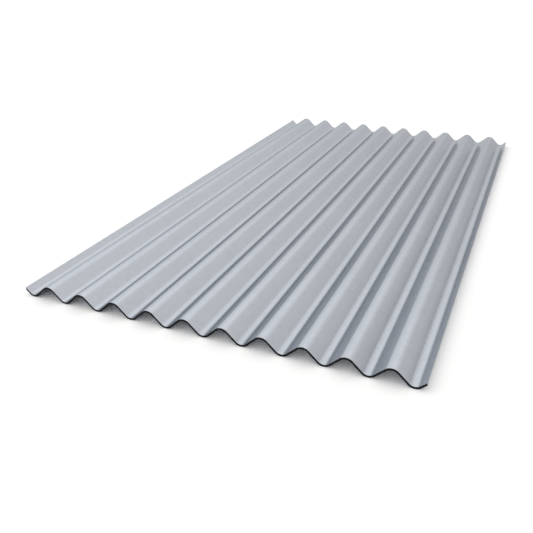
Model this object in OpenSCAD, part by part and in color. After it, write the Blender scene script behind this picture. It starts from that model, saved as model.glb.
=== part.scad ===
// Corrugated metal sheet: one flat strip of coated steel, rolled into parallel round waves.
// The waves run along Y and the sheet lies on its valleys, with the floor at z = 0.
// Origin: middle of the sheet, on the floor. Millimetres.

/* [Sheet] */
// Length along the waves
sheet_length = 1500; // [300:10:6000]
// Thickness of the metal
sheet_thickness = 4.27; // [0.8:0.01:6]

/* [Waves] */
// Number of whole crests across the sheet
crest_count = 10; // [1:1:16]
// Distance from one crest to the next
pitch = 76.2; // [70:0.1:130]
// Height of a crest above a valley, on one face
wave_depth = 24.5; // [14:0.1:30]
// Radius on the inside of every bend
bend_radius = 13; // [6:0.1:15]
// Width of the upturned lip outside the last valley, from that valley's centre line
edge_run = 19.05; // [10:0.05:34]

/* [Hidden] */
$fn = 128;

// How far an arc and its tangent flank overlap, so that they cross instead of only touching
seam = 0.001;

// The outside of a bend, and the heights of the bend centres
outer_radius = bend_radius + sheet_thickness;
crest_centre_z = wave_depth - bend_radius;
valley_centre_z = outer_radius;
sheet_height = wave_depth + sheet_thickness;

// Slope of the straight flank, which is tangent to a crest bend and to the next valley bend:
// along the flank's normal, the two bend centres are both radii apart
radii_sum = bend_radius + outer_radius;
centre_rise = valley_centre_z - crest_centre_z;
centre_gap = norm([pitch / 2, centre_rise]);
flank_angle = asin(radii_sum / centre_gap) - atan2(centre_rise, pitch / 2);
flank_normal = [sin(flank_angle), cos(flank_angle)];

// Centre lines across the sheet, from right to left. A spare crest on each side carries the lip.
sheet_width = crest_count * pitch + 2 * edge_run;
crest_x = [for (i = [-1 : crest_count]) ((crest_count - 1) / 2 - i) * pitch];
valley_x = [for (i = [0 : crest_count]) (crest_count / 2 - i) * pitch];

// Depth of the ground that the cross-section is cut from
ground_z = -2 * outer_radius;

function flip_x(point) = [-point.x, point.y];

// Ends of the two straight flanks of one crest, each a seam inside the arc that it meets
function flank_ends(x, crest_radius, valley_radius) =
    let (
        top = (crest_radius - seam) * flank_normal,
        foot = [pitch / 2, centre_rise] - (valley_radius - seam) * flank_normal
    )
    [for (end = [foot, top, flip_x(top), flip_x(foot)]) [x, crest_centre_z] + end];

// Everything below one face of the sheet
module below_face(crest_radius, valley_radius, ground) {
    side_x = crest_x[0] + pitch / 2;
    flanks = [for (x = crest_x) each flank_ends(x, crest_radius, valley_radius)];
    difference() {
        union() {
            polygon(concat([[-side_x, ground], [side_x, ground]], flanks));
            for (x = crest_x) translate([x, crest_centre_z]) circle(r = crest_radius);
        }
        for (x = valley_x) translate([x, valley_centre_z]) circle(r = valley_radius);
    }
}

// Cross-section of the sheet: what lies below its upper face but not below its lower face
module section() {
    intersection() {
        difference() {
            below_face(outer_radius, bend_radius, ground_z);
            below_face(bend_radius, outer_radius, 2 * ground_z);
        }
        translate([-sheet_width / 2, ground_z]) square([sheet_width, sheet_height - 2 * ground_z]);
    }
}

module corrugated_sheet() {
    color("silver")
        rotate([90, 0, 0])
            linear_extrude(height = sheet_length, center = true) section();
}

corrugated_sheet();
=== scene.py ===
import math
from collections import namedtuple

import bmesh
import bpy
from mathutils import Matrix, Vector


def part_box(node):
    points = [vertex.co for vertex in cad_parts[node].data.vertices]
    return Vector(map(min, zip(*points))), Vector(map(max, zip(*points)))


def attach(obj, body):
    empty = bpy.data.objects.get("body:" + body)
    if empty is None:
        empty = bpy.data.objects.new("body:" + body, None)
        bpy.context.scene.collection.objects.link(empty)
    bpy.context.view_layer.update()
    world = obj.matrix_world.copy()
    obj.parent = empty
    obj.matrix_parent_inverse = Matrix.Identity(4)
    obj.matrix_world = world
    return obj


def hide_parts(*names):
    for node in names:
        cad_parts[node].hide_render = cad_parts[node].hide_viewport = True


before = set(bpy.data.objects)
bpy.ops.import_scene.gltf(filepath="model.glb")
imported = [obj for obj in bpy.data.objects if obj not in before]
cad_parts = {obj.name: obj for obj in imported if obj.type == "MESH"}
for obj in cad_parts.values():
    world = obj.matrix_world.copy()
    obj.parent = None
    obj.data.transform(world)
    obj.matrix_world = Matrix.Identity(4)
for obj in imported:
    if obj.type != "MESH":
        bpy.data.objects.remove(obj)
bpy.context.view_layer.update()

# Sizes of the sheet, in metres. Its length and width come from the frame.
PITCH = 0.0762
WAVE_DEPTH = 0.0245
BEND_RADIUS = 0.013
SHEET_THICKNESS = 0.00427
CREST_COUNT = 10
sheet_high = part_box("corrugated_sheet")[1]
half_width = sheet_high.x
half_length = sheet_high.y

# Steps of the mesh round a bend, along a flank and along the sheet
ARC_STEPS = 14
FLANK_STEPS = 4
LENGTH_STEPS = 40

# Rounding of the sharp edges, and the corner from which an edge counts as sharp
EDGE_ROUNDING = 0.0003
ROUNDING_STEPS = 2
SHARP_CORNER = math.radians(40)

# Bends and flanks of the wave, along the middle of the metal
middle_radius = BEND_RADIUS + SHEET_THICKNESS / 2
crest_centre_z = WAVE_DEPTH - BEND_RADIUS
valley_centre_z = BEND_RADIUS + SHEET_THICKNESS
centre_rise = valley_centre_z - crest_centre_z
centre_gap = math.hypot(PITCH / 2, centre_rise)
flank_angle = math.asin(2 * middle_radius / centre_gap) - math.atan2(centre_rise, PITCH / 2)

# Heights on the upper face at which a crest bend and a valley bend run into the flank
crest_bend_z = crest_centre_z + (BEND_RADIUS + SHEET_THICKNESS) * math.cos(flank_angle)
valley_bend_z = valley_centre_z - BEND_RADIUS * math.cos(flank_angle)

# A place along the wave: a point on the middle of the metal, in XZ, and the angle of the metal there
Station = namedtuple("Station", "point tilt")

# Material slots of the sheet
COATING, CUT_END = 0, 1


def normal_at(tilt):
    """Upward normal, in XZ, of metal that rises towards +X at this angle."""
    return Vector((-math.sin(tilt), math.cos(tilt)))


def bend(x, z, radius, first_tilt, last_tilt):
    """Stations round one bend."""
    stations = []
    for step in range(ARC_STEPS + 1):
        tilt = first_tilt + (last_tilt - first_tilt) * step / ARC_STEPS
        stations.append(Station(Vector((x, z)) + radius * normal_at(tilt), tilt))
    return stations


def crest_bend(x):
    return bend(x, crest_centre_z, middle_radius, flank_angle, -flank_angle)


def valley_bend(x):
    return bend(x, valley_centre_z, -middle_radius, -flank_angle, flank_angle)


def flank(start, end):
    """Stations along one straight flank, without its ends."""
    shares = [step / FLANK_STEPS for step in range(1, FLANK_STEPS)]
    return [Station(start.point.lerp(end.point, share), start.tilt) for share in shares]


def point_at(foot, tilt, x):
    """Where the straight flank through foot, at this tilt, reaches x."""
    return Vector((x, foot.y + (x - foot.x) * math.tan(tilt)))


def lip(foot, x):
    """The station at which the lip outside the last valley ends."""
    return Station(point_at(foot.point, foot.tilt, x), foot.tilt)


def section_stations():
    """The wave from the left edge to the right edge."""
    bends = []
    for i in range(CREST_COUNT + 1):
        valley_x = (i - CREST_COUNT / 2) * PITCH
        bends.append(valley_bend(valley_x))
        if i < CREST_COUNT:
            bends.append(crest_bend(valley_x + PITCH / 2))
    ends = [[lip(bends[0][0], -half_width)], [lip(bends[-1][-1], half_width)]]
    runs = ends[:1] + bends + ends[1:]
    stations = []
    for this, after in zip(runs, runs[1:]):
        stations += this + flank(this[-1], after[0])
    return stations + runs[-1]


def face_points(stations, side):
    """Points of the upper face (side 1) or the lower face (side -1). The lips are cut upright."""
    points = [place.point + side * SHEET_THICKNESS / 2 * normal_at(place.tilt) for place in stations]
    for index, x in ((0, -half_width), (-1, half_width)):
        points[index] = point_at(points[index], stations[index].tilt, x)
    return points


def new_object(name, builder):
    mesh = bpy.data.meshes.new(name)
    builder.to_mesh(mesh)
    builder.free()
    made = bpy.data.objects.new(name, mesh)
    bpy.context.scene.collection.objects.link(made)
    return made


def round_edges(made):
    rounding = made.modifiers.new("edge_rounding", "BEVEL")
    rounding.width = EDGE_ROUNDING
    rounding.segments = ROUNDING_STEPS
    rounding.limit_method = "ANGLE"
    rounding.angle_limit = SHARP_CORNER
    rounding.harden_normals = True


def make_sheet():
    """The section drawn along the sheet. Its depth layer is 0 on the upper face and 1 on the lower face."""
    stations = section_stations()
    upper = face_points(stations, 1)
    lower = face_points(stations, -1)
    loop = upper + lower[::-1]
    count = len(loop)
    rows = [-half_length + 2 * half_length * step / LENGTH_STEPS for step in range(LENGTH_STEPS + 1)]
    builder = bmesh.new()
    depth = builder.verts.layers.float.new("depth")
    rings = [[builder.verts.new((p.x, y, p.y)) for p in loop] for y in rows]
    for ring in rings:
        for vert in ring[len(upper):]:
            vert[depth] = 1.0
    for ring, after in zip(rings, rings[1:]):
        for k in range(count):
            face = builder.faces.new((ring[k], after[k], after[(k + 1) % count], ring[(k + 1) % count]))
            face.material_index = COATING
    for ring in (rings[0], rings[-1]):
        for k in range(len(stations) - 1):
            face = builder.faces.new((ring[k], ring[k + 1], ring[count - 2 - k], ring[count - 1 - k]))
            face.material_index = CUT_END
    bmesh.ops.recalc_face_normals(builder, faces=builder.faces)
    for face in builder.faces:
        face.smooth = True
    made = new_object("rolled_sheet", builder)
    round_edges(made)
    return made


def new_material(name):
    material = bpy.data.materials.new(name)
    material.use_nodes = True
    return material, material.node_tree.nodes["Principled BSDF"]


def add_node(tree, kind, inputs, **settings):
    """A node with its settings. Each input is a value, or a socket to link from."""
    node = tree.nodes.new(kind)
    for name, value in settings.items():
        setattr(node, name, value)
    for name, value in inputs.items():
        if isinstance(value, bpy.types.NodeSocket):
            tree.links.new(value, node.inputs[name])
        else:
            node.inputs[name].default_value = value
    return node


def object_place(tree):
    """Place on the sheet, in metres."""
    return add_node(tree, "ShaderNodeTexCoord", {}).outputs["Object"]


# A noise: its features a metre across, along and up the sheet, and its octaves of finer detail
Noise = namedtuple("Noise", "density octaves")


def noise(tree, pattern, output="Fac"):
    """A noise as a value or, with the output Color, as three values."""
    place = add_node(tree, "ShaderNodeMapping", {"Vector": object_place(tree), "Scale": pattern.density})
    inputs = {"Vector": place.outputs["Vector"], "Scale": 1.0, "Detail": pattern.octaves}
    return add_node(tree, "ShaderNodeTexNoise", inputs).outputs[output]


def spread(tree, value, low, high, from_low=0.0, from_high=1.0):
    """The value moved from one range to another, without going past its ends."""
    inputs = {"Value": value, "From Min": from_low, "From Max": from_high, "To Min": low, "To Max": high}
    return add_node(tree, "ShaderNodeMapRange", inputs).outputs["Result"]


# The range in which nearly all of a noise lies
NOISE_LOW = 0.3
NOISE_HIGH = 0.7


def noise_spread(tree, value, low, high):
    """The middle range of a noise moved to another range."""
    return spread(tree, value, low, high, NOISE_LOW, NOISE_HIGH)


def total(tree, values):
    """Sum of the values."""
    result = values[0]
    for value in values[1:]:
        result = add_node(tree, "ShaderNodeMath", {0: result, 1: value}, operation="ADD").outputs[0]
    return result


def blend(tree, factor, first, second):
    """Colour from first, where the factor is 0, to second, where it is 1."""
    inputs = {"Factor": factor, 6: first, 7: second}
    return add_node(tree, "ShaderNodeMix", inputs, data_type="RGBA").outputs[2]


def add_bump(tree, shader, height, strength, distance):
    bump = add_node(tree, "ShaderNodeBump", {"Height": height, "Strength": strength, "Distance": distance})
    tree.links.new(bump.outputs["Normal"], shader.inputs["Normal"])


# The zinc coating: its darkest and lightest tones, and the tint of its sheen at a shallow angle
ZINC_DARK = (0.504, 0.536, 0.586, 1)
ZINC_LIGHT = (0.564, 0.596, 0.646, 1)
SHEEN_TINT = (0.6, 0.6, 0.6, 1)

# Its crystals: their size, the feathers a crystal has on its edges, and the reach of those
GRAIN_SIZE = 0.011
FEATHERS_PER_GRAIN = 2.5
FEATHER_REACH = 0.6 * GRAIN_SIZE

# Its specks: their spacing and radius
SPECK_SPACING = 0.012
SPECK_RADIUS = 0.0006

# Its noises
FEATHERS = Noise([FEATHERS_PER_GRAIN / GRAIN_SIZE] * 3, 3)
CLOUDS = Noise((9, 4.5, 9), 2)
STREAKS = Noise((260, 1.6, 260), 3)
HAIRLINES = Noise((2600, 14, 2600), 2)
PITS = Noise((900, 900, 900), 2)

# How far each detail moves the tone, where 0 is the darkest and 1 the lightest
GRAIN_TONE = 0.4
CLOUD_TONE = 0.25
STREAK_TONE = 0.35
HAIRLINE_TONE = 0.13

# Roughness, how far each detail changes it, and how much smoother the forming rolls leave the bends
COATING_ROUGHNESS = 0.28
GRAIN_ROUGHNESS = 0.016
SPECK_ROUGHNESS = 0.2
STREAK_SMOOTHEST = -0.02
STREAK_ROUGHEST = 0.04
HAIRLINE_SMOOTHEST = -0.015
HAIRLINE_ROUGHEST = 0.025
BEND_POLISH = 0.08

# Relief: how strongly it shows, the height of the hairlines and pits, and how many times higher specks are
COATING_BUMP = 0.2
COATING_RELIEF = 0.0000333
SPECK_RELIEF = 1.2


def grain_shade(tree):
    """One chance value from 0 to 1 for each crystal of the zinc. The crystals have feathered edges."""
    inputs = {0: noise(tree, FEATHERS, "Color"), "Scale": FEATHER_REACH}
    shift = add_node(tree, "ShaderNodeVectorMath", inputs, operation="SCALE")
    inputs = {0: object_place(tree), 1: shift.outputs[0]}
    moved = add_node(tree, "ShaderNodeVectorMath", inputs, operation="ADD")
    cells = add_node(tree, "ShaderNodeTexVoronoi", {"Vector": moved.outputs[0], "Scale": 1 / GRAIN_SIZE})
    parts = add_node(tree, "ShaderNodeSeparateColor", {"Color": cells.outputs["Color"]})
    return parts.outputs["Red"]


def specks(tree):
    """1 in small scattered specks, 0 between them."""
    inputs = {"Vector": object_place(tree), "Scale": 1 / SPECK_SPACING}
    cells = add_node(tree, "ShaderNodeTexVoronoi", inputs)
    radius = SPECK_RADIUS / SPECK_SPACING
    return spread(tree, cells.outputs["Distance"], 1.0, 0.0, radius / 2, radius)


def bend_polish(tree):
    """Change of roughness on the bends, which the forming rolls have burnished."""
    height = add_node(tree, "ShaderNodeSeparateXYZ", {"Vector": object_place(tree)}).outputs["Z"]
    return total(tree, [
        spread(tree, height, 0.0, -BEND_POLISH, crest_bend_z, sheet_high.z),
        spread(tree, height, -BEND_POLISH, 0.0, SHEET_THICKNESS, valley_bend_z),
    ])


def coating_material():
    """Satin zinc: faint crystals, specks, streaks along the rolling direction and burnished bends."""
    material, shader = new_material("zinc_coating")
    tree = material.node_tree
    grain = grain_shade(tree)
    speck = specks(tree)
    streak = noise(tree, STREAKS)
    hairline = noise(tree, HAIRLINES)
    tone = total(tree, [
        spread(tree, grain, 0.0, GRAIN_TONE),
        noise_spread(tree, noise(tree, CLOUDS), 0.0, CLOUD_TONE),
        noise_spread(tree, streak, 0.0, STREAK_TONE),
        noise_spread(tree, hairline, -HAIRLINE_TONE, HAIRLINE_TONE),
    ])
    rough = total(tree, [
        bend_polish(tree),
        spread(tree, speck, 0.0, SPECK_ROUGHNESS),
        spread(tree, grain, COATING_ROUGHNESS, COATING_ROUGHNESS + GRAIN_ROUGHNESS),
        noise_spread(tree, streak, STREAK_SMOOTHEST, STREAK_ROUGHEST),
        noise_spread(tree, hairline, HAIRLINE_SMOOTHEST, HAIRLINE_ROUGHEST),
    ])
    relief = total(tree, [spread(tree, speck, 0.0, SPECK_RELIEF), hairline, noise(tree, PITS)])
    tree.links.new(blend(tree, tone, ZINC_DARK, ZINC_LIGHT), shader.inputs["Base Color"])
    tree.links.new(rough, shader.inputs["Roughness"])
    add_bump(tree, shader, relief, COATING_BUMP, COATING_RELIEF)
    shader.inputs["Metallic"].default_value = 1.0
    shader.inputs["Specular Tint"].default_value = SHEEN_TINT
    return material


# The cut ends: the darkest and lightest tones, near black, a painted dark reflection over the sheared
# steel's own darker tone, and how much it mirrors
CUT_DARK_PAINTED_REFLECTION = (0.0015, 0.0017, 0.002, 1)
CUT_LIGHT_PAINTED_REFLECTION = (0.016, 0.0178, 0.02, 1)
CUT_SPECULAR = 0.12

# The blade marks and the torn metal, and how far each moves the tone
BLADE_MARKS = Noise((1700, 1700, 160), 3)
TEARS = Noise((1500, 1500, 1500), 4)
MARK_TONE = 0.5
TEAR_TONE = 0.5

# The smooth strip below the upper face: where it starts and stops fading, as shares of the thickness,
# how far the blade marks shift that, and how much lighter than the middle tone it is, a painted sheen, with
# the torn metal painted as much darker
STRIP_FADE_START = 0.32
STRIP_FADE_STOP = 0.42
STRIP_WANDER = 0.15
STRIP_PAINTED_SHEEN = 0.25
STRIP_ROUGHNESS = 0.45
TORN_ROUGHNESS = 0.8

# Relief of the blade marks and the torn metal
CUT_BUMP = 0.6
CUT_RELIEF = 0.00005


def cut_end_material():
    """Sheared steel, painted near black as a dark reflection over its own darker tone: a smoother strip
    below the upper face, painted lighter as a sheen, torn metal under it, painted darker, and blade marks.
    """
    material, shader = new_material("cut_steel_painted_dark")
    tree = material.node_tree
    marks = noise(tree, BLADE_MARKS)
    torn = noise(tree, TEARS)
    depth = add_node(tree, "ShaderNodeAttribute", {}, attribute_name="depth").outputs["Fac"]
    ragged = total(tree, [depth, noise_spread(tree, marks, -STRIP_WANDER, STRIP_WANDER)])
    below_strip = spread(tree, ragged, 0.0, 1.0, STRIP_FADE_START, STRIP_FADE_STOP)
    tone = total(tree, [
        noise_spread(tree, marks, 0.0, MARK_TONE),
        noise_spread(tree, torn, 0.0, TEAR_TONE),
        # Painted sheen: lighter on the smooth strip, darker on the torn metal
        spread(tree, below_strip, STRIP_PAINTED_SHEEN, -STRIP_PAINTED_SHEEN),
    ])
    rough = spread(tree, below_strip, STRIP_ROUGHNESS, TORN_ROUGHNESS)
    # Near-black base colour: a painted dark reflection over the cut steel's own darker tone
    tree.links.new(blend(tree, tone, CUT_DARK_PAINTED_REFLECTION, CUT_LIGHT_PAINTED_REFLECTION), shader.inputs["Base Color"])
    tree.links.new(rough, shader.inputs["Roughness"])
    add_bump(tree, shader, total(tree, [marks, torn]), CUT_BUMP, CUT_RELIEF)
    shader.inputs["Specular IOR Level"].default_value = CUT_SPECULAR
    return material


sheet = make_sheet()
sheet.data.materials.append(coating_material())
sheet.data.materials.append(cut_end_material())
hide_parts("corrugated_sheet")
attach(sheet, "root")


# The floor, a plain white square
FLOOR_SIZE = 60
FLOOR_COLOUR = (1, 1, 1, 1)


def make_floor():
    builder = bmesh.new()
    bmesh.ops.create_grid(builder, x_segments=1, y_segments=1, size=FLOOR_SIZE / 2)
    floor = new_object("floor", builder)
    material, shader = new_material("floor")
    shader.inputs["Base Color"].default_value = FLOOR_COLOUR
    shader.inputs["Roughness"].default_value = 1.0
    shader.inputs["Specular IOR Level"].default_value = 0.0
    floor.data.materials.append(material)


# The world: its strength at the horizon and overhead, its colour on the left and on the right,
# and the height, as the sine of an angle, above which the right side has its full colour
HORIZON_LIGHT = 1.0
OVERHEAD_LIGHT = 1.18
LEFT_COLOUR = (1, 1, 1, 1)
RIGHT_COLOUR = (0.59, 0.57, 0.54, 1)
RIGHT_HEIGHT = 0.15


def make_world():
    """White light from all round, stronger from above and, off the horizon, dimmer on the right."""
    world = bpy.data.worlds.new("studio")
    world.use_nodes = True
    world.cycles.sampling_method = "NONE"
    bpy.context.scene.world = world
    tree = world.node_tree
    direction = add_node(tree, "ShaderNodeTexCoord", {})
    axes = add_node(tree, "ShaderNodeSeparateXYZ", {"Vector": direction.outputs["Generated"]})
    strength = spread(tree, axes.outputs["Z"], HORIZON_LIGHT, OVERHEAD_LIGHT)
    raised = spread(tree, axes.outputs["Z"], 0.0, 1.0, from_high=RIGHT_HEIGHT)
    dimmed = spread(tree, axes.outputs["X"], 0.0, raised)
    colour = blend(tree, dimmed, LEFT_COLOUR, RIGHT_COLOUR)
    background = tree.nodes["Background"]
    tree.links.new(strength, background.inputs["Strength"])
    tree.links.new(colour, background.inputs["Color"])


# The lamp, above and to the left, aimed at the middle of the sheet
KEY_PLACE = Vector((-1.6, -0.2, 2.4))
KEY_SIZE = 2.0
KEY_WATTS = 4


def make_key_lamp():
    light = bpy.data.lights.new("key", "AREA")
    light.shape = "DISK"
    light.size = KEY_SIZE
    light.energy = KEY_WATTS
    lamp = bpy.data.objects.new("key", light)
    lamp.location = KEY_PLACE
    lamp.rotation_euler = (-KEY_PLACE).to_track_quat("-Z", "Y").to_euler()
    bpy.context.scene.collection.objects.link(lamp)


# The camera, as the photograph shows the sheet
CAMERA_AZIMUTH = math.radians(23.089)
CAMERA_ELEVATION = math.radians(26.6945)
CAMERA_DISTANCE = 1.38706
CAMERA_TARGET = Vector((-0.00185, -0.45139, SHEET_THICKNESS))
FOCAL_PIXELS = 635.04
IMAGE_PIXELS = 533
SENSOR_WIDTH = 36


def make_camera():
    data = bpy.data.cameras.new("camera")
    data.sensor_width = SENSOR_WIDTH
    data.lens = SENSOR_WIDTH * FOCAL_PIXELS / IMAGE_PIXELS
    camera = bpy.data.objects.new("camera", data)
    flat = math.cos(CAMERA_ELEVATION)
    back = Vector((
        math.sin(CAMERA_AZIMUTH) * flat,
        -math.cos(CAMERA_AZIMUTH) * flat,
        math.sin(CAMERA_ELEVATION),
    ))
    camera.location = CAMERA_TARGET + back * CAMERA_DISTANCE
    camera.rotation_euler = back.to_track_quat("Z", "Y").to_euler()
    bpy.context.scene.collection.objects.link(camera)
    bpy.context.scene.camera = camera


make_floor()
make_world()
make_key_lamp()
make_camera()
bpy.context.scene.view_settings.view_transform = "Standard"
